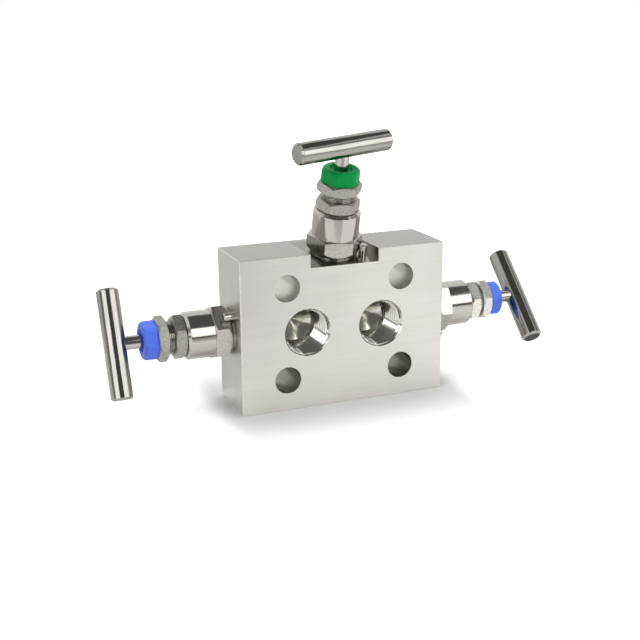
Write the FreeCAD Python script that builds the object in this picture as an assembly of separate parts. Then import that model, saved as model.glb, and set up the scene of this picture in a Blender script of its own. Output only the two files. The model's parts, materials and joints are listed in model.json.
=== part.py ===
import FreeCAD, Part
import math
import os

V = FreeCAD.Vector

# Three-valve instrument manifold: a stainless block bolted to a pressure transmitter by its
# rear face, with two tapered process ports in front, an isolating valve on each side and an
# equalising valve that leans forward out of a notch in the top. Millimetres.
# +X right, +Y towards the transmitter, +Z up. The origin is the centre of the four-bolt
# pattern on the rear face.

# Block
BLOCK_WIDTH = 96.0
BLOCK_DEPTH = 30.0
BLOCK_HEIGHT = 69.0
BLOCK_EDGE = 0.5

# Bolt pattern and rear sealing faces
BOLT_SPACING_X = 54.0
BOLT_SPACING_Z = 41.3
BOLT_HOLE_R = 6.0
REAR_PORT_SPACING = 54.0
REAR_POCKET_R = 6.5
REAR_POCKET_DEPTH = 3.0
RING_IN_R = 9.0
RING_OUT_R = 12.0
RING_DEPTH = 2.0
RING_CLEAR = 0.1

# Tapered process ports
PORT_SPACING = 35.0
PORT_MOUTH_R = 10.75
PORT_MOUTH_CHAMFER = 0.7
PORT_THREAD_R = 10.25
PORT_THREAD_LENGTH = 13.6
PORT_RUN_OUT = 4.5
PORT_TAPER = 1.0 / 32.0
PORT_DRILL_R = 9.15
PORT_DEPTH = 19.5
DRILL_POINT = math.radians(59.0)

# Valve places
SIDE_AXIS_DEPTH = 17.0
TOP_TILT = math.radians(13.5)
TOP_AXIS_DEPTH = 13.1
NOTCH_WIDTH = 32.0
NOTCH_DEPTH = 6.0

# Passages
ORIFICE_R = 2.0
PASSAGE_R = 1.6
PASSAGE_BITE = 1.0
REAR_DRILL_SHIFT = 2.5
CROSS_RISE = 3.0
CROSS_SHIFT = 2.0

# Valve cavity in the block, measured down the valve axis from the block's surface
CAVITY_THREAD_R = 8.6
CAVITY_DEPTH = 14.0
CHAMBER_R = 4.5
CHAMBER_LENGTH = 4.0

# Bonnet, measured up the valve axis
THREAD_CLEAR = 0.05
NECK_STEP = 0.6
NECK_LENGTH = 1.0
HEX_AF = 21.5
HEX_LENGTH = 8.0
HEX_FOOT_R = 10.2
HEX_FOOT_CHAMFER = 2.4
HEX_CONE = 0.7
BARREL_R = 10.4
BARREL_TOP = 20.7
BARREL_CHAMFER = 1.1
NOSE_R = 6.5
SEAL_HEIGHT = 2.0
PACKING_R = 5.6
BACK_SEAT_WALL = 1.8
GLAND_BORE_DEPTH = 8.9
GLAND_THREAD_R = 6.9

# Nuts and cap
NUT_CHAMFER = 0.9
NUT_FACE_INSET = 0.2
LOCK_NUT_AF = 17.0
LOCK_NUT_HEIGHT = 5.1
GLAND_NUT_AF = 17.4
GLAND_NUT_HEIGHT = 4.5
GLAND_RUN_OUT = 0.7
CAP_SPIGOT_R = 5.5
CAP_SPIGOT_HEIGHT = 4.0
CAP_AF = 15.4
CAP_CORNER_R = 8.4
CAP_HEIGHT = 6.2
CAP_EDGE = 1.8
CAP_DISH_R = 5.2
CAP_DISH_FLOOR_R = 4.4
CAP_DISH_DEPTH = 1.2

# Packing stack
WASHER_HEIGHT = 0.8
FOLLOWER_HEIGHT = 2.5
RING_COUNT = 3
RING_VEE = 0.6
STACK_CLEAR = 0.05

# Spindle
STEM_R = 3.0
STEM_THREAD_R = 4.0
STEM_THREAD_LENGTH = 8.3
RUN_CLEAR = 0.08
SOCKET_R = 2.1
SOCKET_DEPTH = 4.0
TIP_R = 3.0
TIP_LENGTH = 2.45
TIP_HALF_ANGLE = math.radians(30.0)
TIP_END_R = 0.6
SEAT_GAP = 0.3
FULL_OPEN = 5.0
BACK_SEAT_GAP = 0.4

# Handle bar
BAR_R = 4.75
BAR_LENGTH = 47.5
BAR_CHAMFER = 0.9
BAR_CLEAR = 1.75
BAR_HOLE_DEPTH = 2.5
HANDLE_PIN_R = 1.0
HANDLE_PIN_LENGTH = 7.0
HANDLE_PIN_SINK = 0.15

# Bonnet locking pin
LOCK_PIN_R = 1.75
LOCK_PIN_TOUCH = 0.05
LOCK_PIN_PROUD = 5.2
LOCK_PIN_DEPTH = 6.0
LOCK_PIN_CHAMFER = 0.4

# Each valve: how far it stands open, the thread left bare between its two nuts, and the angles
# round its axis, from the front, of the bonnet hexagon, nuts, handle bar and locking pin.
VALVES = {
    "left": {"open": 4.4, "gap": 2.7, "hex": 20.0, "lock": 30.5, "gland": 47.5, "bar": 112.5, "pin": 45.0},
    "right": {"open": 3.0, "gap": 1.3, "hex": 7.0, "lock": 42.5, "gland": 42.5, "bar": 44.5, "pin": 57.0},
    "top": {"open": 2.8, "gap": 3.0, "hex": 18.0, "lock": 18.0, "gland": 20.0, "bar": 103.0, "pin": 62.0},
}

# Places that follow
FRONT = -BLOCK_DEPTH
SIDE_X = BLOCK_WIDTH / 2
TOP_Z = BLOCK_HEIGHT / 2
BOLT_X = BOLT_SPACING_X / 2
BOLT_Z = BOLT_SPACING_Z / 2
REAR_PORT_X = REAR_PORT_SPACING / 2
PORT_X = PORT_SPACING / 2
SIDE_Y = FRONT + SIDE_AXIS_DEPTH
TOP_Y = FRONT + TOP_AXIS_DEPTH
NOTCH_FLOOR_Z = TOP_Z - NOTCH_DEPTH
TOP_FOOT_Z = NOTCH_FLOOR_Z + TOP_AXIS_DEPTH * math.tan(TOP_TILT)
SEAT_DEPTH = CAVITY_DEPTH + CHAMBER_LENGTH
NECK_R = CAVITY_THREAD_R + NECK_STEP
GLAND_BORE_FLOOR = BARREL_TOP - GLAND_BORE_DEPTH
LOCK_NUT_TOP = BARREL_TOP + LOCK_NUT_HEIGHT
GAPS = [valve["gap"] for valve in VALVES.values()]
GLAND_THREAD_LENGTH = LOCK_NUT_TOP + min(GAPS) - GLAND_BORE_FLOOR - GLAND_RUN_OUT
BAR_SHUT = LOCK_NUT_TOP + max(GAPS) + GLAND_NUT_HEIGHT + CAP_HEIGHT + BAR_CLEAR + BAR_R
TIP_CONE_TOP = (TIP_R - ORIFICE_R) / math.tan(TIP_HALF_ANGLE)
STEM_FOOT = -SEAT_DEPTH + SEAT_GAP + TIP_CONE_TOP + TIP_LENGTH + STACK_CLEAR
STEM_SHOULDER = STEM_FOOT + STEM_THREAD_LENGTH + STEM_THREAD_R - STEM_R
BACK_SEAT = STEM_SHOULDER + FULL_OPEN + BACK_SEAT_GAP
PACKING_FLOOR = BACK_SEAT + BACK_SEAT_WALL
OVER = 1.0


def save(name, shape):
    shape.exportStep("parts/" + name + ".step")


def axes(side):
    """Foot of a valve on the block, its front direction, cross direction and outward axis."""
    if side == "top":
        foot = V(0, TOP_Y, TOP_FOOT_Z)
        front = V(0, -math.cos(TOP_TILT), -math.sin(TOP_TILT))
        return foot, front, V(1, 0, 0), V(0, -math.sin(TOP_TILT), math.cos(TOP_TILT))
    sign = -1 if side == "left" else 1
    return V(sign * SIDE_X, SIDE_Y, 0), V(0, -1, 0), V(0, 0, -sign), V(sign, 0, 0)


def place(shape, side):
    """Move a piece modelled about +Z, with +X to the front, onto its valve axis."""
    foot, front, cross, out = axes(side)
    matrix = FreeCAD.Matrix(front.x, cross.x, out.x, foot.x, front.y, cross.y, out.y, foot.y,
                            front.z, cross.z, out.z, foot.z, 0, 0, 0, 1)
    return shape.transformed(matrix)


def revolve(points):
    """Turn a closed outline of (radius, height) points about +Z."""
    wire = Part.makePolygon([V(r, 0, z) for r, z in points + points[:1]])
    return Part.Face(wire).revolve(V(0, 0, 0), V(0, 0, 1), 360)


def cylinder(radius, low, high):
    return Part.makeCylinder(radius, high - low, V(0, 0, low))


def drill(radius, start, end):
    """A straight drilled hole between two points."""
    way = end.sub(start)
    return Part.makeCylinder(radius, way.Length, start, way)


def hexagon(across_flats, low, high, angle):
    """A six-sided prism with a corner at the given angle from +X."""
    corner = across_flats / math.sqrt(3)
    turns = [math.radians(angle + 60 * i) for i in range(7)]
    wire = Part.makePolygon([V(corner * math.cos(t), corner * math.sin(t), low) for t in turns])
    return Part.Face(wire).extrude(V(0, 0, high - low))


def chamfered_hexagon(across_flats, low, high, angle, foot, head):
    """A hexagon with its corners turned down, to a (radius, height) chamfer at each end."""
    corner = across_flats / math.sqrt(3)
    turned = revolve([(0, low), (foot[0], low), (corner, low + foot[1]),
                      (corner, high - head[1]), (head[0], high), (0, high)])
    return hexagon(across_flats, low, high, angle).common(turned)


def port_cutter():
    """A tapered pipe thread that runs out into a drilled hole with a pointed end, along +Z."""
    taper_end = PORT_THREAD_R - PORT_THREAD_LENGTH * PORT_TAPER
    point = PORT_DRILL_R / math.tan(DRILL_POINT)
    return revolve([(0, -OVER), (PORT_MOUTH_R, -OVER), (PORT_MOUTH_R, 0),
                    (PORT_THREAD_R, PORT_MOUTH_CHAMFER), (taper_end, PORT_THREAD_LENGTH),
                    (PORT_DRILL_R, PORT_THREAD_LENGTH + PORT_RUN_OUT), (PORT_DRILL_R, PORT_DEPTH),
                    (0, PORT_DEPTH + point)])


def cavity_cutter(side):
    """The stepped hole that a bonnet screws into, with its seat orifice, along -Z from z = 0."""
    end = -SEAT_DEPTH - CHAMBER_R if side == "top" else PORT_X - SIDE_X
    return revolve([(0, OVER), (CAVITY_THREAD_R, OVER), (CAVITY_THREAD_R, -CAVITY_DEPTH),
                    (CHAMBER_R, -CAVITY_DEPTH), (CHAMBER_R, -SEAT_DEPTH),
                    (ORIFICE_R, -SEAT_DEPTH), (ORIFICE_R, end), (0, end)])


def notch_cutter():
    """The wedge milled through the front for the leaning valve, its floor square to the axis."""
    run = NOTCH_DEPTH / math.tan(TOP_TILT)
    over_drop = OVER * math.tan(TOP_TILT)
    points = [V(-NOTCH_WIDTH / 2, FRONT - OVER, NOTCH_FLOOR_Z - over_drop),
              V(-NOTCH_WIDTH / 2, FRONT + run + OVER, TOP_Z + over_drop),
              V(-NOTCH_WIDTH / 2, FRONT - OVER, TOP_Z + over_drop)]
    return Part.Face(Part.makePolygon(points + points[:1])).extrude(V(NOTCH_WIDTH, 0, 0))


def groove_cutter():
    """The ring groove round a rear port, sunk along -Z."""
    ring = cylinder(RING_OUT_R + RING_CLEAR, -RING_DEPTH, OVER)
    return ring.cut(cylinder(RING_IN_R - RING_CLEAR, -RING_DEPTH - OVER, OVER * 2))


def facing_rear(shape, x):
    """Turn a piece modelled about +Z so that its top faces the transmitter, at this x."""
    turned = shape.copy()
    turned.rotate(V(0, 0, 0), V(1, 0, 0), -90)
    turned.translate(V(x, 0, 0))
    return turned


def along_top_axis(height):
    foot, _, _, out = axes("top")
    return foot.add(out.multiply(height))


def rear_passages(sign):
    """From a rear port to its isolating valve, and across to the equalising valve."""
    start = V(sign * (REAR_PORT_X + REAR_DRILL_SHIFT), OVER - REAR_POCKET_DEPTH, 0)
    chamber_x = SIDE_X - CAVITY_DEPTH - CHAMBER_LENGTH / 2
    end = V(sign * chamber_x, SIDE_Y + CHAMBER_R - PASSAGE_BITE, 0)
    cross_start = V(sign * (REAR_PORT_X - CROSS_SHIFT), OVER - REAR_POCKET_DEPTH, CROSS_RISE)
    if sign > 0:
        cross_end = along_top_axis(-SEAT_DEPTH - CHAMBER_R + PASSAGE_R)
    else:
        cross_end = along_top_axis(-CAVITY_DEPTH - PASSAGE_R)
        cross_end.x = PASSAGE_BITE - CHAMBER_R
    return drill(PASSAGE_R, start, end).fuse(drill(PASSAGE_R, cross_start, cross_end))


def manifold_block():
    block = Part.makeBox(BLOCK_WIDTH, BLOCK_DEPTH, BLOCK_HEIGHT, V(-SIDE_X, FRONT, -TOP_Z))
    block = block.makeChamfer(BLOCK_EDGE, block.Edges)
    cuts = [notch_cutter()]
    for x in (-BOLT_X, BOLT_X):
        for z in (-BOLT_Z, BOLT_Z):
            cuts.append(drill(BOLT_HOLE_R, V(x, FRONT - OVER, z), V(x, OVER, z)))
    for sign in (-1, 1):
        port = port_cutter()
        port.rotate(V(0, 0, 0), V(1, 0, 0), -90)
        port.translate(V(sign * PORT_X, FRONT, 0))
        pocket = facing_rear(cylinder(REAR_POCKET_R, -REAR_POCKET_DEPTH, OVER), sign * REAR_PORT_X)
        groove = facing_rear(groove_cutter(), sign * REAR_PORT_X)
        cuts += [port, pocket, groove, rear_passages(sign)]
    for side in VALVES:
        cuts.append(place(cavity_cutter(side), side))
        cuts.append(place(lock_pin(side, 0), side))
    for cut in cuts:
        block = block.cut(cut)
    return block.removeSplitter()


def face_seal(sign):
    ring = cylinder(RING_OUT_R, -RING_DEPTH, 0).cut(cylinder(RING_IN_R, -RING_DEPTH, 0))
    return facing_rear(ring, sign * REAR_PORT_X)


def lock_pin(side, chamfer):
    """The pin that stops a bonnet unscrewing, beside its hexagon."""
    at = math.radians(VALVES[side]["pin"])
    off_flat = (VALVES[side]["pin"] - VALVES[side]["hex"]) % 60 - 30
    offset = (HEX_AF / 2 + LOCK_PIN_R + LOCK_PIN_TOUCH) / math.cos(math.radians(off_flat))
    pin = revolve([(0, -LOCK_PIN_DEPTH), (LOCK_PIN_R, -LOCK_PIN_DEPTH),
                   (LOCK_PIN_R, LOCK_PIN_PROUD - chamfer),
                   (LOCK_PIN_R - chamfer, LOCK_PIN_PROUD), (0, LOCK_PIN_PROUD)])
    pin.translate(V(offset * math.cos(at), offset * math.sin(at), 0))
    return pin


def bonnet(side):
    thread_r = CAVITY_THREAD_R - THREAD_CLEAR
    seal_top = -CAVITY_DEPTH + SEAL_HEIGHT
    body = revolve([(0, -CAVITY_DEPTH), (NOSE_R, -CAVITY_DEPTH), (NOSE_R, seal_top),
                    (thread_r, seal_top), (thread_r, 0), (NECK_R, 0), (NECK_R, HEX_LENGTH),
                    (BARREL_R, HEX_LENGTH), (BARREL_R, BARREL_TOP - BARREL_CHAMFER),
                    (BARREL_R - BARREL_CHAMFER, BARREL_TOP), (0, BARREL_TOP)])
    flats = chamfered_hexagon(HEX_AF, NECK_LENGTH, NECK_LENGTH + HEX_LENGTH, VALVES[side]["hex"],
                              (HEX_FOOT_R, HEX_FOOT_CHAMFER), (BARREL_R, HEX_CONE))
    bore = revolve([(0, -CAVITY_DEPTH - OVER), (STEM_THREAD_R + RUN_CLEAR, -CAVITY_DEPTH - OVER),
                    (STEM_THREAD_R + RUN_CLEAR, BACK_SEAT), (STEM_R + RUN_CLEAR, BACK_SEAT),
                    (STEM_R + RUN_CLEAR, PACKING_FLOOR), (PACKING_R, PACKING_FLOOR),
                    (PACKING_R, GLAND_BORE_FLOOR), (GLAND_THREAD_R + THREAD_CLEAR, GLAND_BORE_FLOOR),
                    (GLAND_THREAD_R + THREAD_CLEAR, BARREL_TOP + OVER), (0, BARREL_TOP + OVER)])
    return body.fuse(flats).cut(bore).removeSplitter()


def bonnet_seal():
    """The ring squeezed between the bonnet's shoulder and the floor of its hole."""
    top = -CAVITY_DEPTH + SEAL_HEIGHT
    ring = cylinder(CAVITY_THREAD_R - THREAD_CLEAR, -CAVITY_DEPTH, top)
    return ring.cut(cylinder(NOSE_R + THREAD_CLEAR, -CAVITY_DEPTH, top))


def gland_foot(side):
    return LOCK_NUT_TOP + VALVES[side]["gap"] - GLAND_THREAD_LENGTH


def stack_ring(low, high, low_vee, high_vee):
    """A ring round the stem in the packing chamber, its ends raised to a vee half way across."""
    inner = STEM_R + RUN_CLEAR
    outer = PACKING_R - STACK_CLEAR
    middle = (inner + outer) / 2
    return revolve([(inner, low), (middle, low + low_vee), (outer, low), (outer, high),
                    (middle, high + high_vee), (inner, high)])


def packing_washer():
    return stack_ring(PACKING_FLOOR, PACKING_FLOOR + WASHER_HEIGHT, 0, RING_VEE)


def packing(side):
    """Nested vee rings that the gland follower squeezes against the stem."""
    low = PACKING_FLOOR + WASHER_HEIGHT + STACK_CLEAR
    pitch = (gland_foot(side) - FOLLOWER_HEIGHT - STACK_CLEAR - low) / RING_COUNT
    rings = [stack_ring(low + i * pitch, low + (i + 1) * pitch - STACK_CLEAR, RING_VEE, RING_VEE)
             for i in range(RING_COUNT)]
    return Part.makeCompound(rings)


def gland_follower(side):
    top = gland_foot(side)
    return stack_ring(top - FOLLOWER_HEIGHT, top, RING_VEE, 0)


def lock_nut(side):
    face_r = LOCK_NUT_AF / 2 - NUT_FACE_INSET
    nut = chamfered_hexagon(LOCK_NUT_AF, BARREL_TOP, LOCK_NUT_TOP, VALVES[side]["lock"],
                            (face_r, NUT_CHAMFER), (face_r, NUT_CHAMFER))
    return nut.cut(cylinder(GLAND_THREAD_R + THREAD_CLEAR, BARREL_TOP - OVER, LOCK_NUT_TOP + OVER))


def gland_nut(side):
    low = LOCK_NUT_TOP + VALVES[side]["gap"]
    top = low + GLAND_NUT_HEIGHT
    face_r = GLAND_NUT_AF / 2 - NUT_FACE_INSET
    head = chamfered_hexagon(GLAND_NUT_AF, low, top, VALVES[side]["gland"],
                             (face_r, NUT_CHAMFER), (face_r, NUT_CHAMFER))
    thread = cylinder(GLAND_THREAD_R, gland_foot(side), low)
    spigot = cylinder(CAP_SPIGOT_R, top, top + CAP_SPIGOT_HEIGHT)
    bore = cylinder(STEM_R + RUN_CLEAR, gland_foot(side) - OVER, top + CAP_SPIGOT_HEIGHT + OVER)
    return head.fuse([thread, spigot]).cut(bore).removeSplitter()


def dust_cap(side):
    low = LOCK_NUT_TOP + VALVES[side]["gap"] + GLAND_NUT_HEIGHT
    top = low + CAP_HEIGHT
    turned = cylinder(CAP_CORNER_R, low, top)
    rim = [edge for edge in turned.Edges if edge.BoundBox.ZMin > top - OVER]
    cap = hexagon(CAP_AF, low, top, VALVES[side]["gland"]).common(turned.makeFillet(CAP_EDGE, rim))
    socket = cylinder(CAP_SPIGOT_R + THREAD_CLEAR, low - OVER, low + CAP_SPIGOT_HEIGHT + THREAD_CLEAR)
    dish = revolve([(0, top - CAP_DISH_DEPTH), (CAP_DISH_FLOOR_R, top - CAP_DISH_DEPTH),
                    (CAP_DISH_R, top), (CAP_DISH_R, top + OVER), (0, top + OVER)])
    return cap.cut(socket).cut(dish).cut(cylinder(STEM_R + RUN_CLEAR, low, top + OVER))


def stem(side):
    """The turning spindle: threaded foot with a socket for the tip, polished shank."""
    lift = VALVES[side]["open"]
    foot = STEM_FOOT + lift
    head = BAR_SHUT + lift + BAR_HOLE_DEPTH
    body = revolve([(0, foot), (STEM_THREAD_R, foot), (STEM_THREAD_R, foot + STEM_THREAD_LENGTH),
                    (STEM_R, STEM_SHOULDER + lift), (STEM_R, head), (0, head)])
    body = body.cut(cylinder(SOCKET_R, foot - OVER, foot + SOCKET_DEPTH))
    return body.cut(handle_pin(side, THREAD_CLEAR / 2)).removeSplitter()


def stem_tip(side):
    """The hard tip that does not turn: a shank in the spindle's socket and a cone on the seat."""
    lift = VALVES[side]["open"]
    base = STEM_FOOT - STACK_CLEAR + lift
    cone_top = base - TIP_LENGTH
    cone_drop = (TIP_R - TIP_END_R) / math.tan(TIP_HALF_ANGLE)
    shank_r = SOCKET_R - RUN_CLEAR
    return revolve([(0, base + SOCKET_DEPTH - STACK_CLEAR * 2),
                    (shank_r, base + SOCKET_DEPTH - STACK_CLEAR * 2), (shank_r, base),
                    (TIP_R, base), (TIP_R, cone_top), (TIP_END_R, cone_top - cone_drop),
                    (0, cone_top - cone_drop)])


def along_bar(shape, side):
    """Turn a piece modelled along +X to the angle and height of the handle bar."""
    turned = shape.copy()
    turned.rotate(V(0, 0, 0), V(0, 0, 1), VALVES[side]["bar"])
    turned.translate(V(0, 0, BAR_SHUT + VALVES[side]["open"]))
    return turned


def away_from_front(side):
    return 1 if math.sin(math.radians(VALVES[side]["bar"])) > 0 else -1


def handle_pin(side, clear):
    """The cross pin that keeps the bar on the stem, entered from the side away from the front."""
    away = away_from_front(side)
    start = V(0, away * (BAR_R - HANDLE_PIN_SINK), 0)
    end = V(0, start.y - away * HANDLE_PIN_LENGTH, 0)
    return along_bar(drill(HANDLE_PIN_R + clear, start, end), side)


def handle_bar(side):
    half = BAR_LENGTH / 2
    bar = revolve([(0, -half), (BAR_R - BAR_CHAMFER, -half), (BAR_R, -half + BAR_CHAMFER),
                   (BAR_R, half - BAR_CHAMFER), (BAR_R - BAR_CHAMFER, half), (0, half)])
    bar.rotate(V(0, 0, 0), V(0, 1, 0), 90)
    bar = bar.cut(cylinder(STEM_R + THREAD_CLEAR / 2, -BAR_R - OVER, BAR_HOLE_DEPTH))
    away = away_from_front(side)
    pin_end = away * (BAR_R - HANDLE_PIN_SINK - HANDLE_PIN_LENGTH)
    hole = drill(HANDLE_PIN_R + THREAD_CLEAR / 2, V(0, away * (BAR_R + OVER), 0), V(0, pin_end, 0))
    return along_bar(bar.cut(hole), side)


def save_valve(side):
    pieces = {
        "bonnet": bonnet(side),
        "bonnet_seal": bonnet_seal(),
        "packing_washer": packing_washer(),
        "packing": packing(side),
        "gland_follower": gland_follower(side),
        "gland_nut": gland_nut(side),
        "lock_nut": lock_nut(side),
        "dust_cap": dust_cap(side),
        "stem": stem(side),
        "stem_tip": stem_tip(side),
        "handle_bar": handle_bar(side),
        "handle_pin": handle_pin(side, 0),
        "lock_pin": lock_pin(side, LOCK_PIN_CHAMFER),
    }
    for name, shape in pieces.items():
        save(side + "_" + name, place(shape, side))


os.makedirs("parts", exist_ok=True)
save("manifold_block", manifold_block())
save("left_face_seal", face_seal(-1))
save("right_face_seal", face_seal(1))
for valve in VALVES:
    save_valve(valve)
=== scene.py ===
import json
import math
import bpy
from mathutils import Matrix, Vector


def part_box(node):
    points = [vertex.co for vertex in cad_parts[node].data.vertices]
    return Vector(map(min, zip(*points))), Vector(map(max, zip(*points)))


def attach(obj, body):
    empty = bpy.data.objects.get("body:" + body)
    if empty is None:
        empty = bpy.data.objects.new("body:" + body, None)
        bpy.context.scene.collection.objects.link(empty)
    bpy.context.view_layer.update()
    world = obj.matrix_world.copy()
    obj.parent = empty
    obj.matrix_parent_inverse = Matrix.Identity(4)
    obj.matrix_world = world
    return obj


bl_info = {
    "name": "Instrument Valve Manifold",
    "version": (1, 0, 0),
    "blender": (4, 5, 0),
    "location": "View3D > Sidebar > Manifold",
    "description": "Finishes, threads and studio for a stainless three-valve instrument manifold",
    "category": "Object",
}

import bmesh
import bpy
from bpy.props import FloatProperty, FloatVectorProperty, IntProperty, PointerProperty
from mathutils import Matrix, Vector

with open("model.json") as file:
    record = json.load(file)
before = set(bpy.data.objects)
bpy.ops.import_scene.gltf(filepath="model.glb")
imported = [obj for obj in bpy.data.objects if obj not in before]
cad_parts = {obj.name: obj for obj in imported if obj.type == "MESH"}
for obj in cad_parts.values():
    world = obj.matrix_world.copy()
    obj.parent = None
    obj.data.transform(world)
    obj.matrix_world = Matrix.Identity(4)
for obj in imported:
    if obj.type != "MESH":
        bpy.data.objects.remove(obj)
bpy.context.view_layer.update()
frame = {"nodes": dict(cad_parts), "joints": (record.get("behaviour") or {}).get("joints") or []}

MM = 0.001
SIDES = ("left", "right", "top")
X, Z = 0, 2

# The block and its holes, as the solids have them.
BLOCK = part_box("manifold_block")
FRONT_Y = BLOCK[0].y
FLOOR_Z = BLOCK[0].z
FRONT = Vector((0, FRONT_Y, 0))
INWARDS = Vector((0, 1, 0))
BOLT_X = 27.0 * MM
BOLT_Z = 20.65 * MM
PORT_X = 17.5 * MM
PORT_RADIUS = 10.26 * MM
PORT_TAPERED = 13.6 * MM
PIPE_TAPER = 1 / 32
RUN_OUT_TAPER = 0.15

# Where a face of the block has to lie to belong to a hole, a port's drilled end or the notch.
BOLT_REACH = 6.2 * MM
PORT_REACH = 10.9 * MM
PORT_END = 17.0 * MM
REAR_MARGIN = 1.0 * MM
FRONT_MARGIN = 0.1 * MM
NOTCH_HALF = 16.1 * MM
NOTCH_LOW = 28.0 * MM
NOTCH_HIGH = 34.4 * MM

# How nearly a normal lies along an axis where a face looks that way, and how little it may
# where the face is the wall of a hole.
SQUARE_ON = 0.9
END_ON = 0.95
WALL_SLOPE = 0.3

# On a valve: how far up its axis the bonnet's hexagon ends, how high the gland nut's hexagon
# is, and the root radius of its thread.
HEXAGON_TOP = 9.6 * MM
GLAND_NUT_HEIGHT = 4.5 * MM
GLAND_ROOT = 6.88 * MM


def linear(text):
    """The linear colour of an sRGB hex value."""
    parts = [int(text[i:i + 2], 16) / 255 for i in (1, 3, 5)]
    return tuple(c / 12.92 if c <= 0.04045 else ((c + 0.055) / 1.055) ** 2.4 for c in parts)


def joint_axis(side):
    """A point on a valve's axis and the way it points, out of the block."""
    turn = next(j for j in frame["joints"] if j["name"] == side + "_turn")
    return Vector(turn["pos_m"]), Vector(turn["axis"]).normalized()


def span(side, piece):
    """How far up its valve's axis a piece starts and ends."""
    foot, axis = joint_axis(side)
    heights = [(v.co - foot).dot(axis) for v in frame["nodes"][side + "_" + piece].data.vertices]
    return min(heights), max(heights)


def bar_line(side):
    """The middle of a handle bar and the way it lies."""
    low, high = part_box(side + "_handle_bar")
    middle = (low + high) / 2
    points = [v.co - middle for v in frame["nodes"][side + "_handle_bar"].data.vertices]
    furthest = max(points, key=lambda point: point.length)
    # The points of one end lie at least this share of the way out to the furthest of them.
    end_share = 0.891
    least = end_share * furthest.length_squared
    end = sum((point for point in points if point.dot(furthest) > least), Vector())
    return middle, end.normalized()


def colour_property(name, text, description):
    return FloatVectorProperty(name=name, description=description, default=linear(text),
                               subtype="COLOR", size=3, min=0.0, max=1.0)


def length_property(name, length, description):
    return FloatProperty(name=name, description=description, default=length * MM,
                         unit="LENGTH", precision=5)


class ManifoldFinish(bpy.types.PropertyGroup):
    ground: colour_property("Ground steel", "#DCDAD4", "Fine-ground steel of the block")
    side: colour_property("Side faces", "#D5D3CD", "Fine-ground steel of the block's ends")
    # The top face's colour is a darker copy of the ground steel: painted shade on the face that
    # looks up.
    sawn: colour_property("Top face", "#B5B3AE", "Ground steel of the block's top, darkened as painted shade")
    edge: colour_property("Broken edge", "#ECEAE4", "Filed edges of the block")
    turned: colour_property("Turned steel", "#BDB9B3", "Turned and polished steel of the bonnets")
    bar: colour_property("Bar steel", "#A09E98", "Drawn and polished steel of the handle bars")
    # The cut lower end of the right handle bar, coloured almost black: painted shade for the dark
    # end that it shows.
    cut: colour_property("Cut end", "#262420", "Right handle bar's lower end, darkened as painted shade")
    pickled: colour_property("Pickled steel", "#B4B2A9", "Matt steel of the nuts")
    # A lighter copy of the nut steel for the right valve's nuts: painted light.
    pale: colour_property("Lit nuts", "#E4E2DA", "Nut steel of the right valve, lightened as painted light")
    # The gland threads are darkened for the shade in the gap between the nuts: painted shade,
    # darkest on the right valve.
    thread: colour_property("Gland thread", "#8A867F", "Thread between the nuts, darkened as painted shade")
    black_thread: colour_property("Right thread shade", "#4E4A44",
                                  "Thread between the right valve's nuts, darkened more as painted shade")
    # A darker copy of the drilled steel for the lower bolt holes: painted shade.
    oiled: colour_property("Shaded drilled steel", "#8A877E", "Drilled wall of the lower bolt holes")
    drilled: colour_property("Drilled steel", "#D4D2CB", "Drilled wall of the upper bolt holes")
    isolate: colour_property("Isolating cap", "#5675E1", "Blue of the isolating valves' dust caps")
    equalise: colour_property("Equalising cap", "#008F45",
                              "Green of the equalising valve's dust cap")
    packing: colour_property("Packing", "#EDECE6",
                             "White fluoropolymer of the packing and face seals")
    graphite: colour_property("Graphite", "#303136", "Pressed graphite of the bonnet seals")


class ManifoldThread(bpy.types.PropertyGroup):
    port_pitch: length_property("Port pitch", 1.814, "Pitch of the tapered pipe thread")
    port_crest: length_property("Port crest", 9.35, "Radius of its crests at the port's mouth")
    gland_pitch: length_property("Gland pitch", 0.8, "Pitch of the gland nut's thread")
    gland_crest: length_property("Gland crest", 7.06, "Radius of the gland thread's crests")
    segments: IntProperty(name="Segments", description="Steps in one turn of a thread",
                          default=96, min=12)


class ManifoldStudio(bpy.types.PropertyGroup):
    lens: FloatProperty(name="Lens", description="Focal length of the camera", default=63.52,
                        unit="CAMERA")
    distance: FloatProperty(name="Distance", default=0.490, unit="LENGTH",
                            description="From the camera to the point that it looks at")
    azimuth: FloatProperty(name="Azimuth", description="Camera's turn from the front, to the right",
                           default=math.radians(-22.37), subtype="ANGLE")
    elevation: FloatProperty(name="Elevation", description="Camera's height over the level",
                             default=math.radians(16.57), subtype="ANGLE")
    roll: FloatProperty(name="Roll", description="Camera's tilt about its own line of sight",
                        default=math.radians(-0.41), subtype="ANGLE")
    target: FloatVectorProperty(name="Target", description="Point that the camera looks at",
                                default=(-11.89 * MM, -30.0 * MM, 5.01 * MM), size=3,
                                subtype="TRANSLATION")
    key: FloatProperty(name="Softbox", description="Brightness of the front softboxes",
                       default=2.4, min=0.0)
    flag: FloatProperty(name="Flag", description="Brightness of the dark flags",
                        default=0.12, min=0.0)
    fill: FloatProperty(name="Fill", description="Power of the overhead fill",
                        default=4.4, min=0.0, unit="POWER")
    floor: FloatProperty(name="Floor", description="How far the floor is lifted to white",
                         default=0.5)


def add_node(tree, kind, inputs=(), **settings):
    """Add a node with its settings, and fill its inputs with values or other nodes' outputs."""
    made = tree.nodes.new(kind)
    for key, value in settings.items():
        setattr(made, key, value)
    for socket, value in inputs:
        if isinstance(value, bpy.types.NodeSocket):
            tree.links.new(value, made.inputs[socket])
        else:
            made.inputs[socket].default_value = value
    return made


def new_material(name):
    made = bpy.data.materials.new(name)
    made.use_nodes = True
    made.node_tree.nodes.clear()
    return made, made.node_tree


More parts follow.
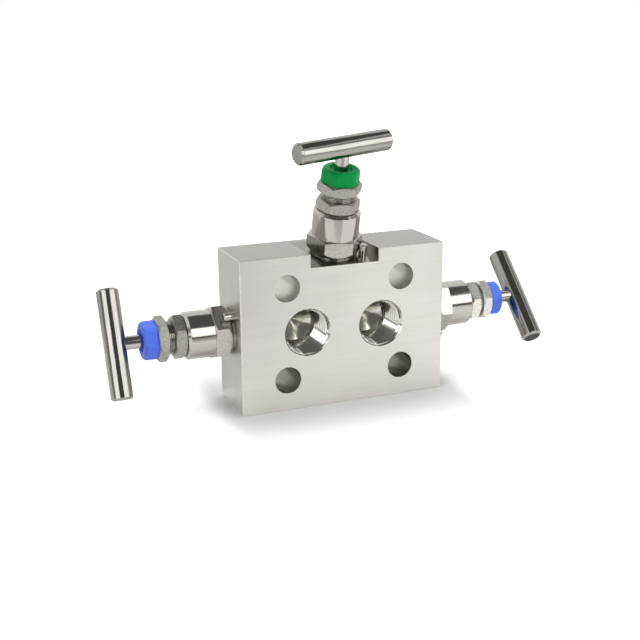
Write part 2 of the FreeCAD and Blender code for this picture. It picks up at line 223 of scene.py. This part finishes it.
def place_mm(tree):
    """The point on the object, in millimetres."""
    where = add_node(tree, "ShaderNodeTexCoord")
    return add_node(tree, "ShaderNodeVectorMath", [(0, where.outputs["Object"]), ("Scale", 1 / MM)],
                    operation="SCALE").outputs[0]


METAL = [("Metallic", 1.0)]


def shade_finish(tree, colour, tint, roughness, relief, edge, settings):
    """Shade a finish from its patterns. The tint is a pattern and the brightness of the colour
    at its lowest and highest, the roughness is a pattern and its two limits, and the relief is
    a pattern, its height and its strength. Sharp edges are rounded for the light, over the
    radius that a deburred edge has."""
    pattern, darkest, lightest = tint
    shade = add_node(tree, "ShaderNodeMapRange",
                     [("Value", pattern), ("To Min", darkest), ("To Max", lightest)])
    tinted = add_node(tree, "ShaderNodeVectorMath", [(0, colour), ("Scale", shade.outputs[0])],
                      operation="SCALE")
    pattern, smoothest, roughest = roughness
    rough = add_node(tree, "ShaderNodeMapRange",
                     [("Value", pattern), ("To Min", smoothest), ("To Max", roughest)])
    rounded = add_node(tree, "ShaderNodeBevel", [("Radius", edge)], samples=6)
    pattern, height, strength = relief
    bump = add_node(tree, "ShaderNodeBump",
                    [("Height", pattern), ("Distance", height), ("Strength", strength),
                     ("Normal", rounded.outputs[0])])
    shader = add_node(tree, "ShaderNodeBsdfPrincipled",
                      [("Base Color", tinted.outputs[0]), ("Roughness", rough.outputs[0]),
                       ("Normal", bump.outputs[0]), *settings])
    add_node(tree, "ShaderNodeOutputMaterial", [("Surface", shader.outputs[0])])


def ground_stainless(name, colour, along):
    """Stainless plate, surface-ground: satin, with fine straight scratches one way and a faint
    cloudiness, so that it gleams softly and its edges show as thin bright lines."""
    made, tree = new_material(name)
    point = place_mm(tree)
    # Wheel marks are near 0.05 mm apart; drawn at about 0.3 mm so that they show. The wheel's
    # passes leave wider bands. Each row is a width, a length, a detail and a roughness.
    patterns = []
    for width, length, detail, roughness in ((0.3, 25.0, 4.0, 0.6), (2.5, 45.0, 2.0, 0.5)):
        scale = [1 / width] * 3
        scale[along] = 1 / length
        drawn_out = add_node(tree, "ShaderNodeVectorMath", [(0, point), (1, scale)],
                             operation="MULTIPLY")
        noise = add_node(tree, "ShaderNodeTexNoise",
                         [("Vector", drawn_out.outputs[0]), ("Scale", 1.0), ("Detail", detail),
                          ("Roughness", roughness)])
        patterns.append(noise.outputs[0])
    scratches, bands = patterns
    cloud_size = 22.0
    cloud = add_node(tree, "ShaderNodeTexNoise",
                     [("Vector", point), ("Scale", 1 / cloud_size), ("Detail", 3.0)])
    both = add_node(tree, "ShaderNodeMath", [(0, bands), (1, cloud.outputs[0])], operation="ADD")
    mean = add_node(tree, "ShaderNodeMath", [(0, both.outputs[0]), (1, 0.5)], operation="MULTIPLY")
    shade_finish(tree, colour, tint=(mean.outputs[0], 0.87, 1.09),
                 roughness=(scratches, 0.34, 0.46), relief=(scratches, 0.012 * MM, 0.5),
                 edge=0.35 * MM, settings=METAL)
    return made


def turned_stainless(name, colour, foot, axis, roughness, spacing, depth):
    """Stainless bar, turned and polished: mirror-like, with fine rings round the axis that
    stretch each reflection a little along the piece. Turning marks are about 0.1 mm apart, and
    the spacing is 0.4 to 0.6 mm so that they show."""
    made, tree = new_material(name)
    point = place_mm(tree)
    offset = add_node(tree, "ShaderNodeVectorMath", [(0, point), (1, foot / MM)],
                      operation="SUBTRACT")
    height = add_node(tree, "ShaderNodeVectorMath", [(0, offset.outputs[0]), (1, axis)],
                      operation="DOT_PRODUCT")
    rings = add_node(tree, "ShaderNodeTexNoise",
                     [("W", height.outputs["Value"]), ("Scale", 1 / spacing), ("Detail", 3.0)],
                     noise_dimensions="1D")
    blotch_size = 7.0
    blotch = add_node(tree, "ShaderNodeTexNoise",
                      [("Vector", point), ("Scale", 1 / blotch_size), ("Detail", 4.0)]).outputs[0]
    shade_finish(tree, colour, tint=(blotch, 0.9, 1.08),
                 roughness=(blotch, roughness * 0.75, roughness * 1.3),
                 relief=(rings.outputs[0], depth, 0.6), edge=0.2 * MM, settings=METAL)
    return made


def drilled_stainless(name, colour, roughness, mouth):
    """Stainless wall of a drilled hole: bright and finely ringed inside. Towards the mouth its
    brightness falls to the given share: painted shade, as the wall reads darker there."""
    made, tree = new_material(name)
    point = place_mm(tree)
    parts = add_node(tree, "ShaderNodeSeparateXYZ", [(0, point)])
    depth = add_node(tree, "ShaderNodeMath", [(0, parts.outputs["Y"]), (1, FRONT_Y / MM)],
                     operation="SUBTRACT").outputs[0]
    # A drill's marks are about 0.2 mm apart; drawn at 0.35 mm so that they show.
    ring_spacing, blotch_size = 0.35, 3.0
    rings = add_node(tree, "ShaderNodeTexNoise",
                     [("W", depth), ("Scale", 1 / ring_spacing), ("Detail", 3.0)],
                     noise_dimensions="1D")
    blotch = add_node(tree, "ShaderNodeTexNoise",
                      [("Vector", point), ("Scale", 1 / blotch_size), ("Detail", 4.0)]).outputs[0]
    # Painted shade: the wall keeps the mouth's share of its brightness down to the first depth, and
    # is fully bright from the second.
    rubbed_depth, bright_depth = 4.0, 11.0
    inside = add_node(tree, "ShaderNodeMapRange",
                      [("Value", depth), ("From Min", rubbed_depth), ("From Max", bright_depth),
                       ("To Min", mouth), ("To Max", 1.0)], interpolation_type="SMOOTHSTEP")
    shade = add_node(tree, "ShaderNodeVectorMath", [(0, colour), ("Scale", inside.outputs[0])],
                     operation="SCALE")
    shade_finish(tree, shade.outputs[0], tint=(blotch, 0.85, 1.1),
                 roughness=(blotch, roughness * 0.75, roughness * 1.3),
                 relief=(rings.outputs[0], 0.006 * MM, 0.6), edge=0.2 * MM, settings=METAL)
    return made


def drawn_stainless(name, colour, middle, way, roughness):
    """Stainless bar, cold drawn and buffed: bright, with fine lines along its length that smear
    each reflection round the bar into soft streaks."""
    made, tree = new_material(name)
    point = place_mm(tree)
    offset = add_node(tree, "ShaderNodeVectorMath", [(0, point), (1, middle / MM)],
                      operation="SUBTRACT").outputs[0]
    run = add_node(tree, "ShaderNodeVectorMath", [(0, offset), (1, way)], operation="DOT_PRODUCT")
    # Drawing lines are about 0.1 mm apart; drawn at 0.5 mm so that they show. With this share
    # of the way along the bar taken out, each line keeps its place for about 15 mm.
    line_spacing, taken_out, blotch_size = 0.5, 0.97, 5.0
    along = add_node(tree, "ShaderNodeVectorMath",
                     [(0, way * taken_out), ("Scale", run.outputs["Value"])], operation="SCALE")
    flat = add_node(tree, "ShaderNodeVectorMath", [(0, offset), (1, along.outputs[0])],
                    operation="SUBTRACT")
    lines = add_node(tree, "ShaderNodeTexNoise",
                     [("Vector", flat.outputs[0]), ("Scale", 1 / line_spacing),
                      ("Detail", 3.0)]).outputs[0]
    blotch = add_node(tree, "ShaderNodeTexNoise",
                      [("Vector", point), ("Scale", 1 / blotch_size), ("Detail", 4.0)]).outputs[0]
    shade_finish(tree, colour, tint=(lines, 0.7, 1.26),
                 roughness=(blotch, roughness * 0.7, roughness * 1.4),
                 relief=(lines, 0.04 * MM, 0.7), edge=0.3 * MM, settings=METAL)
    return made


def pickled_stainless(name, colour, smoothest, roughest, mottle):
    """Stainless forged and pickled, filed or cut: grey and matt, with a fine grain, patches that
    the mottle makes darker and lighter, and slightly polished corners."""
    made, tree = new_material(name)
    point = place_mm(tree)
    # Pickled grain is about 0.1 mm across; drawn at 0.35 mm so that it shows.
    grain_size, patch_size = 0.35, 1.1
    grain = add_node(tree, "ShaderNodeTexNoise",
                     [("Vector", point), ("Scale", 1 / grain_size), ("Detail", 5.0),
                      ("Roughness", 0.65)]).outputs[0]
    patch = add_node(tree, "ShaderNodeTexNoise",
                     [("Vector", point), ("Scale", 1 / patch_size), ("Detail", 4.0),
                      ("Roughness", 0.6)])
    shade_finish(tree, colour, tint=(patch.outputs[0], 0.98 - mottle, 0.98 + mottle),
                 roughness=(grain, smoothest, roughest), relief=(grain, 0.06 * MM, 0.7),
                 edge=0.3 * MM, settings=METAL)
    return made


def moulded_plastic(name, colour):
    """Polyethylene, injection moulded: an even body colour with a soft gloss, faint flow marks
    and a little light that carries under the skin."""
    made, tree = new_material(name)
    point = place_mm(tree)
    # The mould's spark texture is about 0.1 mm; drawn at 0.25 mm so that it shows.
    flow_size, spark_size = 3.0, 0.25
    flow = add_node(tree, "ShaderNodeTexNoise",
                    [("Vector", point), ("Scale", 1 / flow_size), ("Detail", 3.0)]).outputs[0]
    spark = add_node(tree, "ShaderNodeTexNoise",
                     [("Vector", point), ("Scale", 1 / spark_size), ("Detail", 2.0)])
    shade_finish(tree, colour, tint=(flow, 0.92, 1.06), roughness=(flow, 0.34, 0.46),
                 relief=(spark.outputs[0], 0.01 * MM, 0.4), edge=0.35 * MM,
                 settings=[("Subsurface Weight", 0.12), ("Subsurface Scale", 0.4 * MM),
                           ("IOR", 1.5), ("Specular IOR Level", 0.1)])
    return made


def sintered_seal(name, colour, roughness):
    """Fluoropolymer or graphite, pressed and skived: matt and waxy, with a faint grain."""
    made, tree = new_material(name)
    point = place_mm(tree)
    # The powder's grain is under 0.1 mm across; drawn at 0.4 mm so that it shows.
    grain_size = 0.4
    grain = add_node(tree, "ShaderNodeTexNoise",
                     [("Vector", point), ("Scale", 1 / grain_size), ("Detail", 3.0)]).outputs[0]
    shade_finish(tree, colour, tint=(grain, 0.93, 1.05),
                 roughness=(grain, roughness * 0.85, roughness * 1.1),
                 relief=(grain, 0.01 * MM, 0.4), edge=0.2 * MM, settings=())
    return made


def dress(node, *materials):
    """Give a solid its finishes, with the first of them all over."""
    mesh = frame["nodes"][node].data
    mesh.materials.clear()
    for material in materials:
        mesh.materials.append(material)
    for face in mesh.polygons:
        face.material_index = 0
    return mesh


def block_finish(face):
    """The name of the finish that a face of the block takes."""
    centre, normal = face.center, face.normal
    if math.hypot(abs(centre.x) - BOLT_X, abs(centre.z) - BOLT_Z) < BOLT_REACH:
        if abs(normal.y) >= WALL_SLOPE:
            return "bored"
        # The lower holes take the darker copy of the drilled steel, painted shade.
        return "drilled" if centre.z > 0 else "oiled"
    if math.hypot(abs(centre.x) - PORT_X, centre.z) < PORT_REACH and centre.y < -REAR_MARGIN:
        return "port_end" if centre.y > FRONT_Y + PORT_END else "bored"
    in_notch = abs(centre.x) < NOTCH_HALF and NOTCH_LOW < centre.z < NOTCH_HIGH
    if in_notch and normal.y > -SQUARE_ON and centre.y > FRONT_Y + FRONT_MARGIN:
        return "milled"
    if max(abs(value) for value in normal) < SQUARE_ON:
        return "broken"
    # Faces that look up take the darker copy of the ground steel, painted shade.
    if normal.z > SQUARE_ON:
        return "shaded_top"
    return "upright" if abs(normal.x) > SQUARE_ON else "lengthwise"


class MANIFOLD_OT_block(bpy.types.Operator):
    """Ground faces, bores, notch and broken edges of the block"""
    bl_idname = "manifold.block"
    bl_label = "Finish the block"

    def execute(self, context):
        look = context.scene.manifold_finish
        finishes = {
            "lengthwise": ground_stainless("ground_stainless_lengthwise", look.ground, X),
            "upright": ground_stainless("ground_stainless_upright", look.side, Z),
            "bored": turned_stainless("bored_stainless", look.ground, FRONT, INWARDS,
                                      roughness=0.14, spacing=0.4, depth=0.004 * MM),
            # The milled notch takes the darker bar steel: painted shade in the recess.
            "milled": turned_stainless("milled_stainless", look.bar, Vector(), Vector((1, 0, 0)),
                                       roughness=0.14, spacing=0.5, depth=0.004 * MM),
            "drilled": drilled_stainless("drilled_stainless", look.drilled, roughness=0.28,
                                         mouth=0.5),
            "broken": pickled_stainless("broken_edge_stainless", look.edge, smoothest=0.7,
                                        roughest=0.8, mottle=0.2),
            "shaded_top": ground_stainless("shaded_top_ground_stainless", look.sawn, X),
            # Painted shade: the lower holes' wall is the drilled steel darkened.
            "oiled": drilled_stainless("shaded_lower_hole_stainless", look.oiled, roughness=0.26,
                                       mouth=1.0),
            # The port's drilled end takes the lighter edge colour: painted light, as it reads
            # brighter than the bore.
            "port_end": turned_stainless("port_end_stainless", look.edge, FRONT, INWARDS,
                                         roughness=0.13, spacing=0.4, depth=0.004 * MM),
        }
        names = list(finishes)
        for face in dress("manifold_block", *finishes.values()).polygons:
            face.material_index = names.index(block_finish(face))
        return {"FINISHED"}


class MANIFOLD_OT_bonnets(bpy.types.Operator):
    """Turned and polished bonnets, with their hexagons and locking pins"""
    bl_idname = "manifold.bonnets"
    bl_label = "Finish the bonnets"

    def execute(self, context):
        look = context.scene.manifold_finish
        for side in SIDES:
            foot, axis = joint_axis(side)
            barrel = turned_stainless("turned_stainless_" + side, look.turned, foot, axis,
                                      roughness=0.13, spacing=0.5, depth=0.005 * MM)
            hexagon = pickled_stainless("hexagon_stainless_" + side, look.turned, smoothest=0.2,
                                        roughest=0.32, mottle=0.45)
            for face in dress(side + "_bonnet", barrel, hexagon).polygons:
                if (face.center - foot).dot(axis) < HEXAGON_TOP:
                    face.material_index = 1
            dress(side + "_lock_pin", barrel)
        return {"FINISHED"}


class MANIFOLD_OT_nuts(bpy.types.Operator):
    """Pickled lock nuts and gland nuts"""
    bl_idname = "manifold.nuts"
    bl_label = "Finish the nuts"

    def execute(self, context):
        look = context.scene.manifold_finish
        pickled = pickled_stainless("pickled_stainless", look.pickled, smoothest=0.34,
                                    roughest=0.5, mottle=0.6)
        # Painted light: the right valve's nuts take a lighter copy of the same steel.
        pale = pickled_stainless("lit_pickled_stainless", look.pale, smoothest=0.34,
                                 roughest=0.5, mottle=0.5)
        for side in SIDES:
            for piece in ("lock_nut", "gland_nut"):
                dress(side + "_" + piece, pale if side == "right" else pickled)
        return {"FINISHED"}


class MANIFOLD_OT_caps(bpy.types.Operator):
    """Moulded dust caps, blue to isolate and green to equalise"""
    bl_idname = "manifold.caps"
    bl_label = "Finish the dust caps"

    def execute(self, context):
        look = context.scene.manifold_finish
        blue = moulded_plastic("moulded_blue_polyethylene", look.isolate)
        green = moulded_plastic("moulded_green_polyethylene", look.equalise)
        for side in SIDES:
            dress(side + "_dust_cap", green if side == "top" else blue)
        return {"FINISHED"}


class MANIFOLD_OT_spindles(bpy.types.Operator):
    """Polished spindles, handle bars and their pins"""
    bl_idname = "manifold.spindles"
    bl_label = "Finish the spindles"

    def execute(self, context):
        look = context.scene.manifold_finish
        # The cut end's near-black colour is painted shade.
        cut = pickled_stainless("shaded_end_stainless", look.cut, smoothest=0.3, roughest=0.5, mottle=0.9)
        for side in SIDES:
            foot, axis = joint_axis(side)
            middle, way = bar_line(side)
            rod = turned_stainless("polished_spindle_" + side, look.turned, foot, axis,
                                   roughness=0.06, spacing=0.6, depth=0.002 * MM)
            bar = drawn_stainless("drawn_bar_" + side, look.bar, middle, way, roughness=0.1)
            for piece in ("stem", "stem_tip"):
                dress(side + "_" + piece, rod)
            dress(side + "_handle_pin", bar)
            for face in dress(side + "_handle_bar", bar, cut).polygons:
                at_end = abs(face.normal.dot(way)) > END_ON
                if side == "right" and at_end and face.center.z < middle.z:
                    face.material_index = 1
        return {"FINISHED"}


class MANIFOLD_OT_seals(bpy.types.Operator):
    """Packing, washers, followers and seal rings"""
    bl_idname = "manifold.seals"
    bl_label = "Finish the seals"

    def execute(self, context):
        look = context.scene.manifold_finish
        white = sintered_seal("skived_fluoropolymer", look.packing, roughness=0.5)
        black = sintered_seal("pressed_graphite", look.graphite, roughness=0.6)
        for side in SIDES:
            foot, axis = joint_axis(side)
            turned = turned_stainless("turned_follower_" + side, look.turned, foot, axis,
                                      roughness=0.25, spacing=0.5, depth=0.005 * MM)
            dress(side + "_packing", white)
            dress(side + "_bonnet_seal", black)
            dress(side + "_packing_washer", turned)
            dress(side + "_gland_follower", turned)
        dress("left_face_seal", white)
        dress("right_face_seal", white)
        return {"FINISHED"}


def add_object(name, mesh):
    """Turn built faces into an object of the scene."""
    data = bpy.data.meshes.new(name)
    mesh.to_mesh(data)
    mesh.free()
    made = bpy.data.objects.new(name, data)
    bpy.context.scene.collection.objects.link(made)
    return made


def helix_thread(name, foot, axis, start, end, root_at, crest_at, pitch, flat, segments):
    """A one-start thread as a ridge with straight sloping flanks and a crest that is flat for
    twice the given share of a pitch. It rises over a quarter turn at both ends. Its edges are
    sharp, so each flank mirrors one part of the room."""
    # The foot stops just short of the next turn's, and the ends keep a little of their height.
    foot_half, least_rise = 0.49, 0.05
    profile = ((-foot_half, 0.0), (-flat, 1.0), (flat, 1.0), (foot_half, 0.0))
    across = axis.orthogonal().normalized()
    other = axis.cross(across)
    quarter = segments / 4
    steps = int((end - start - pitch) / pitch * segments)
    mesh = bmesh.new()
    rows = []
    for i in range(steps + 1):
        turn = 2 * math.pi * i / segments
        middle = start + pitch / 2 + pitch * i / segments
        fade = min(1.0, least_rise + i / quarter, least_rise + (steps - i) / quarter)
        out = across * math.cos(turn) + other * math.sin(turn)
        row = []
        for along, rise in profile:
            level = middle + along * pitch
            root, crest = root_at(level), crest_at(level)
            radius = root + (crest - root) * fade * rise
            row.append(mesh.verts.new(foot + axis * level + out * radius))
        rows.append(row)
    for first, second in zip(rows, rows[1:]):
        for j in range(len(profile)):
            after = (j + 1) % len(profile)
            mesh.faces.new((first[j], second[j], second[after], first[after])).smooth = True
        for j in range(len(profile)):
            mesh.edges.get((first[j], second[j])).smooth = False
    for ends in (rows[0], rows[-1]):
        mesh.faces.new(ends)
    bmesh.ops.recalc_face_normals(mesh, faces=mesh.faces)
    return add_object(name, mesh)


def port_wall(depth):
    """Radius of a process port's wall: the pipe taper, and then the steeper run-out."""
    run_out = max(0.0, depth - PORT_TAPERED)
    return PORT_RADIUS - min(depth, PORT_TAPERED) * PIPE_TAPER - run_out * RUN_OUT_TAPER


class MANIFOLD_OT_port_threads(bpy.types.Operator):
    """Tapered pipe threads in the process ports"""
    bl_idname = "manifold.port_threads"
    bl_label = "Cut the port threads"

    def execute(self, context):
        sizes = context.scene.manifold_thread
        threaded = turned_stainless("threaded_stainless", context.scene.manifold_finish.ground,
                                    FRONT, INWARDS, roughness=0.1, spacing=0.4, depth=0.003 * MM)
        first_depth, last_depth = 0.6 * MM, 17.4 * MM
        for name, sign in (("left_port_thread", -1), ("right_port_thread", 1)):
            mouth = Vector((sign * PORT_X, FRONT_Y, 0))
            ridge = helix_thread(name, mouth, INWARDS, first_depth, last_depth, port_wall,
                                 lambda depth: sizes.port_crest - depth * PIPE_TAPER,
                                 sizes.port_pitch, flat=0.07, segments=sizes.segments)
            ridge.data.materials.append(threaded)
            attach(ridge, "manifold")
        return {"FINISHED"}


class MANIFOLD_OT_gland_threads(bpy.types.Operator):
    """Gland threads that show between the nuts"""
    bl_idname = "manifold.gland_threads"
    bl_label = "Cut the gland threads"

    def execute(self, context):
        look = context.scene.manifold_finish
        sizes = context.scene.manifold_thread
        # The thread runs on a little into the nuts at either end of what shows of it.
        into_lock_nut, into_gland_nut = 0.9 * MM, 0.3 * MM
        for side in SIDES:
            foot, axis = joint_axis(side)
            low = span(side, "lock_nut")[1] - into_lock_nut
            high = span(side, "dust_cap")[0] - GLAND_NUT_HEIGHT + into_gland_nut
            # Painted shade: the thread in the gap between the nuts is darkened, most on the right
            # valve.
            colour = look.black_thread if side == "right" else look.thread
            greased = turned_stainless("gland_thread_" + side, colour, foot, axis,
                                       roughness=0.08, spacing=0.5, depth=0.002 * MM)
            ridge = helix_thread(side + "_gland_thread", foot, axis, low, high,
                                 lambda level: GLAND_ROOT, lambda level: sizes.gland_crest,
                                 sizes.gland_pitch, flat=0.3, segments=sizes.segments)
            ridge.data.materials.append(greased)
            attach(ridge, "manifold")
        return {"FINISHED"}


def add_sheet(name, corners, material):
    """A flat sheet of the studio, with its finish."""
    mesh = bmesh.new()
    mesh.faces.new([mesh.verts.new(corner) for corner in corners])
    made = add_object(name, mesh)
    made.data.materials.append(material)
    return made


def glowing_cloth(name, glow):
    """Cloth of a softbox or flag, as bright as it looks from the object."""
    material, tree = new_material(name)
    light = add_node(tree, "ShaderNodeEmission", [("Strength", glow)])
    add_node(tree, "ShaderNodeOutputMaterial", [("Surface", light.outputs[0])])
    return material


def add_card(name, corners, glow):
    """A card that the object mirrors, out of the camera's sight."""
    made = add_sheet(name, corners, glowing_cloth(name, glow))
    made.visible_camera = False
    return made


def build_room(look):
    """Softboxes at the front left and right, and grey flags in front, beside and overhead. They
    give the turned steel its bright and dark bands; the white back and floor do the rest."""
    low = FLOOR_Z + 1 * MM
    dark = look.flag
    # Upright cards: their two ends on the floor, lower edge, height at each end, brightness.
    for name, start, end, bottom, tops, glow in (
            ("softbox_right", (0.029, -0.429), (0.311, -0.175), 0.045, (0.40, 0.22), look.key),
            ("softbox_left", (-0.310, -0.351), (-0.465, -0.115), 0.03, (0.27, 0.27), look.key),
            ("flag_front", (-0.8, -0.75), (0.8, -0.75), low, (0.75, 0.75), dark),
            ("flag_left", (-0.7, -0.75), (-0.7, 0.1), low, (0.75, 0.2), dark * 3),
            ("flag_right", (0.7, -0.75), (0.7, -0.1), low, (0.36, 0.36), dark * 7),
            ("flag_right_far", (0.7, -0.1), (0.7, 0.05), low, (0.4, 0.4), dark * 2.5),
            ("flag_right_high", (0.7, -0.75), (0.7, 0.05), 0.36, (0.75, 0.75), dark * 3.5)):
        add_card(name, [(*start, bottom), (*end, bottom), (*end, tops[1]), (*start, tops[0])], glow)
    overhead = ((-0.55, -0.76), (0.56, -0.76), (0.56, 0.1), (0.35, 0.4), (-0.55, 0.45))
    add_card("flag_top", [(x, y, 0.75) for x, y in overhead], dark)
    # Level cards that show only in the steel: the greyer floor behind, in front and at the left,
    # and just over it the block's dark shadow close behind, which the bolt holes mirror. Each
    # has its outline from above, height and brightness.
    for name, outline, height, glow in (
            ("card_behind", ((-0.1, 0.004), (0.4, 0.004), (0.4, 0.45), (-0.4, 0.45), (-0.4, 0.13),
                             (-0.1, 0.13)), low, dark * 5.5),
            ("card_front", ((-0.3, -0.6), (0.06, -0.6), (0.05, -0.22), (-0.2, -0.22)), low,
             dark * 4),
            ("card_left", ((-0.5, 0.02), (-0.1, 0.02), (-0.1, 0.13), (-0.5, 0.13)), low, dark * 9),
            ("card_near", ((-0.2, -0.22), (0.05, -0.22), (0.01, -0.12), (-0.1, -0.12)), low,
             dark * 6),
            ("card_shadow", ((-0.048, 0.004), (0.048, 0.004), (0.04, 0.05), (-0.06, 0.05)),
             low + 0.5 * MM, dark * 2)):
        made = add_card(name, [(x, y, height) for x, y in outline], glow)
        made.visible_diffuse = False
        made.visible_shadow = False


def build_fill(power):
    """A soft lamp overhead that matt surfaces and the floor see and polished steel does not."""
    data = bpy.data.lights.new("fill", "AREA")
    data.shape = "RECTANGLE"
    data.size = 0.7
    data.size_y = 0.6
    data.energy = power
    made = bpy.data.objects.new("fill", data)
    made.location = (0.02, 0.05, 0.7)
    made.visible_glossy = False
    made.visible_camera = False
    bpy.context.scene.collection.objects.link(made)


def build_floor(lift):
    """A white sweep that keeps the block's soft shadow and is lifted to plain white, for the
    camera alone, beyond that shadow and towards the back."""
    material, tree = new_material("white_sweep")
    middle = (BLOCK[0] + BLOCK[1]) / 2
    half = (BLOCK[1] - BLOCK[0]) / 2
    # The distance from the block's foot. It counts more beside the block than in front of it,
    # where the shadow reaches further.
    apart = add_node(tree, "ShaderNodeNewGeometry").outputs["Position"]
    for operation, value in (("SUBTRACT", (middle.x, middle.y, FLOOR_Z)),
                             ("ABSOLUTE", (0.0, 0.0, 0.0)), ("SUBTRACT", (half.x, half.y, 0.0)),
                             ("MAXIMUM", (0.0, 0.0, 0.0)), ("MULTIPLY", (3.5, 1.0, 1.0))):
        apart = add_node(tree, "ShaderNodeVectorMath", [(0, apart), (1, value)],
                         operation=operation).outputs[0]
    reach = add_node(tree, "ShaderNodeVectorMath", [(0, apart)], operation="LENGTH")
    shadow_edge, shadow_end = 5 * MM, 55 * MM
    back_start, back_end = 0.3, 0.9
    lifted = 0.0
    for start, end, height in ((shadow_edge, shadow_end, lift), (back_start, back_end, 1.0)):
        further = add_node(tree, "ShaderNodeMapRange",
                           [("Value", reach.outputs["Value"]), ("From Min", start),
                            ("From Max", end), ("To Max", height)],
                           interpolation_type="SMOOTHSTEP")
        lifted = add_node(tree, "ShaderNodeMath", [(0, lifted), (1, further.outputs[0])],
                          operation="ADD").outputs[0]
    camera = add_node(tree, "ShaderNodeLightPath").outputs["Is Camera Ray"]
    seen = add_node(tree, "ShaderNodeMath", [(0, lifted), (1, camera)], operation="MULTIPLY")
    # Sockets 6 and 7 are the mixed colours, and output 2 is their mixture.
    mixed = add_node(tree, "ShaderNodeMix",
                     [("Factor", camera), (6, (*linear("#F2F2F2"), 1.0)),
                      (7, (*linear("#D6D6D6"), 1.0))], data_type="RGBA")
    paper = add_node(tree, "ShaderNodeBsdfDiffuse", [("Color", mixed.outputs[2])])
    glow = add_node(tree, "ShaderNodeEmission", [("Strength", seen.outputs[0])])
    both = add_node(tree, "ShaderNodeAddShader", [(0, paper.outputs[0]), (1, glow.outputs[0])])
    add_node(tree, "ShaderNodeOutputMaterial", [("Surface", both.outputs[0])])
    size = 4
    add_sheet("studio_floor", [(-size, -size, FLOOR_Z), (size, -size, FLOOR_Z),
                               (size, size, FLOOR_Z), (-size, size, FLOOR_Z)], material)


def build_world():
    """White where it is seen or reflected, and a plain soft light elsewhere."""
    world = bpy.data.worlds.new("studio")
    world.use_nodes = True
    tree = world.node_tree
    tree.nodes.clear()
    ray = add_node(tree, "ShaderNodeLightPath")
    seen = ray.outputs["Is Camera Ray"]
    for kind in ("Is Glossy Ray", "Is Transmission Ray"):
        seen = add_node(tree, "ShaderNodeMath", [(0, seen), (1, ray.outputs[kind])],
                        operation="MAXIMUM").outputs[0]
    soft, white = 0.9, 1.0
    strength = add_node(tree, "ShaderNodeMapRange",
                        [("Value", seen), ("To Min", soft), ("To Max", white)])
    light = add_node(tree, "ShaderNodeBackground",
                     [("Color", (1, 1, 1, 1)), ("Strength", strength.outputs[0])])
    add_node(tree, "ShaderNodeOutputWorld", [("Surface", light.outputs[0])])
    bpy.context.scene.world = world


def build_camera(look):
    """The camera at the photograph's viewing angle."""
    back = Vector((math.sin(look.azimuth) * math.cos(look.elevation),
                   -math.cos(look.azimuth) * math.cos(look.elevation), math.sin(look.elevation)))
    right = (-back).cross(Vector((0, 0, 1))).normalized()
    up = right.cross(-back)
    c, s = math.cos(look.roll), math.sin(look.roll)
    right, up = right * c + up * s, up * c - right * s
    turn = Matrix((right, up, back)).transposed().to_4x4()
    data = bpy.data.cameras.new("camera")
    data.lens = look.lens
    data.sensor_width = 36.0
    made = bpy.data.objects.new("camera", data)
    made.matrix_world = Matrix.Translation(Vector(look.target) + back * look.distance) @ turn
    bpy.context.scene.collection.objects.link(made)
    bpy.context.scene.camera = made


class MANIFOLD_OT_stage(bpy.types.Operator):
    """White floor, softboxes, flags, lamp and camera"""
    bl_idname = "manifold.stage"
    bl_label = "Set the stage"

    def execute(self, context):
        look = context.scene.manifold_studio
        build_world()
        build_floor(look.floor)
        build_room(look)
        build_fill(look.fill)
        build_camera(look)
        context.scene.view_settings.view_transform = "Standard"
        return {"FINISHED"}


STEPS = ("block", "port_threads", "bonnets", "nuts", "gland_threads", "caps", "spindles", "seals",
         "stage")


class MANIFOLD_PT_panel(bpy.types.Panel):
    """Sizes, colours and steps of the manifold"""
    bl_idname = "MANIFOLD_PT_panel"
    bl_label = "Manifold"
    bl_space_type = "VIEW_3D"
    bl_region_type = "UI"
    bl_category = "Manifold"

    def draw(self, context):
        for group in (context.scene.manifold_finish, context.scene.manifold_thread,
                      context.scene.manifold_studio):
            box = self.layout.box()
            for name in group.__annotations__:
                box.prop(group, name)
        for step in STEPS:
            self.layout.operator("manifold." + step)


CLASSES = (ManifoldFinish, ManifoldThread, ManifoldStudio, MANIFOLD_OT_block,
           MANIFOLD_OT_port_threads, MANIFOLD_OT_bonnets, MANIFOLD_OT_nuts,
           MANIFOLD_OT_gland_threads, MANIFOLD_OT_caps, MANIFOLD_OT_spindles, MANIFOLD_OT_seals,
           MANIFOLD_OT_stage, MANIFOLD_PT_panel)


def register():
    for made in CLASSES:
        bpy.utils.register_class(made)
    bpy.types.Scene.manifold_finish = PointerProperty(type=ManifoldFinish)
    bpy.types.Scene.manifold_thread = PointerProperty(type=ManifoldThread)
    bpy.types.Scene.manifold_studio = PointerProperty(type=ManifoldStudio)


def unregister():
    del bpy.types.Scene.manifold_studio
    del bpy.types.Scene.manifold_thread
    del bpy.types.Scene.manifold_finish
    for made in reversed(CLASSES):
        bpy.utils.unregister_class(made)


def main():
    register()
    for step in STEPS:
        getattr(bpy.ops.manifold, step)()


if __name__ == "__main__":
    main()
